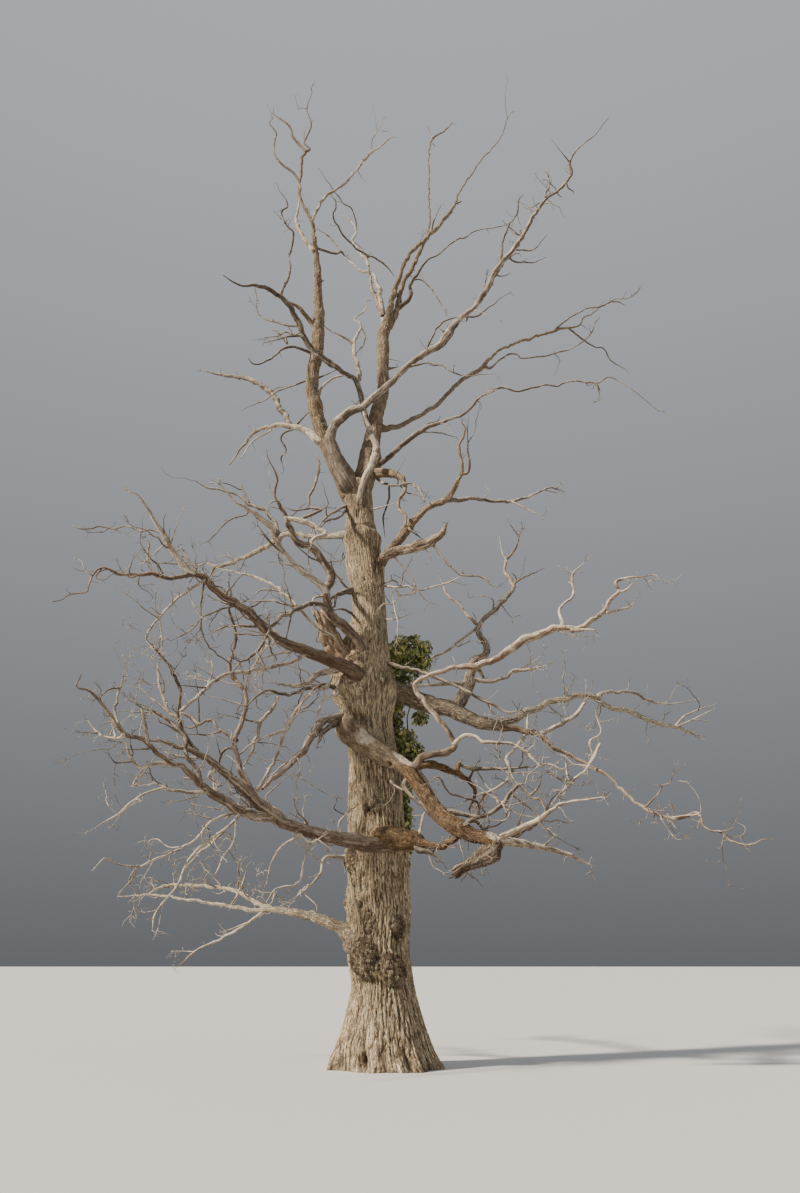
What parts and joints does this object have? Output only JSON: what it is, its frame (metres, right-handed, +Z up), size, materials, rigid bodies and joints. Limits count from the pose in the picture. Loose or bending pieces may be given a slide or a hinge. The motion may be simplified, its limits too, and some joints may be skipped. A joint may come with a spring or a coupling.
{
  "type": "dead tree",
  "caption": "Tall dead oak with a flared, burred trunk, a high fork and bare, broken, twisting boughs; a little ivy clings to the far side of the trunk.",
  "frame": {"origin": "middle of the flat cut under the trunk, at ground level", "axes": "+Z up the tree, +X to the right seen from the viewed side, the viewed side faces -Y"},
  "size_m": [11.8992, 6.7582, 23.9334],
  "materials": {
    "wood_bark": "rough grey-brown bark",
    "wood_dark": "dark weathered bark",
    "wood_brown": "brown weathered wood",
    "wood_pale": "bleached bare wood",
    "wood_white": "silver bleached wood",
    "wood_two": "bleached wood with dark bark below",
    "wood_pink": "peeled reddish wood",
    "wood_rust": "rust-brown weathered wood",
    "wood_rustdark": "dark rust-brown wood",
    "wood_lichen": "grey-green lichened bark",
    "wood_peel": "peeled pale and red-brown wood",
    "wood_split": "torn orange-brown heartwood",
    "wood_splinter": "dark splintered wood",
    "wood_tan": "tan broken wood with bark",
    "wood_palebark": "pale grey bark",
    "ivy_leaves": "dark green ivy leaves"
  },
  "bodies": {
    "root": {"trunk": "wood_bark", "left_leader": "wood_bark", "centre_leader": "wood_bark", "left_leader_right_fork": "wood_pale", "left_leader_top_arm": "wood_pale", "centre_leader_back_fork": "wood_bark", "diagonal_bough_lower": "wood_two", "diagonal_bough_upper": "wood_two", "upper_left_bough": "wood_dark", "upper_right_bough": "wood_bark", "upper_right_low_bough": "wood_dark", "curling_bough_lower": "wood_bark", "curling_bough_upper": "wood_bark", "curling_bough_side_arm": "wood_two", "split_stub_bough": "wood_split", "hooked_bough": "wood_bark", "pale_left_bough": "wood_pale", "pale_left_bough_arm": "wood_dark", "twisted_left_bough": "wood_brown", "silver_left_bough": "wood_white", "grey_left_bough": "wood_lichen", "broken_left_stub": "wood_tan", "great_left_bough_inner": "wood_rustdark", "great_left_bough_outer": "wood_rustdark", "silver_split_branch": "wood_white", "thin_left_branch": "wood_pale", "peeled_left_branch": "wood_pink", "low_left_bough_inner": "wood_pink", "low_left_bough_outer": "wood_brown", "low_left_upright_inner": "wood_pink", "low_left_upright_outer": "wood_dark", "lowest_left_bough": "wood_palebark", "lowest_left_fork": "wood_palebark", "right_bough_inner": "wood_bark", "right_bough_outer": "wood_bark", "right_bough_pale_fork": "wood_pale", "rising_right_bough": "wood_bark", "drooping_right_bough_inner": "wood_brown", "drooping_right_bough_outer": "wood_brown", "front_stub": "wood_bark", "rust_bough": "wood_rust", "splintered_end": "wood_splinter", "rust_bough_pale_fork": "wood_pale", "rust_bough_brown_fork": "wood_brown", "peeled_right_bough_root": "wood_peel", "peeled_right_bough_turn": "wood_peel", "peeled_right_bough": "wood_peel", "mid_right_branch": "wood_rust", "sawn_stub": "wood_rust", "back_left_bough": "wood_dark", "back_low_left_bough": "wood_brown", "back_right_bough": "wood_brown", "back_upper_right_bough": "wood_dark", "back_upper_left_bough": "wood_dark", "ivy_upper": "ivy_leaves", "ivy_middle": "ivy_leaves", "ivy_lower": "ivy_leaves"}
  },
  "joints": []
}
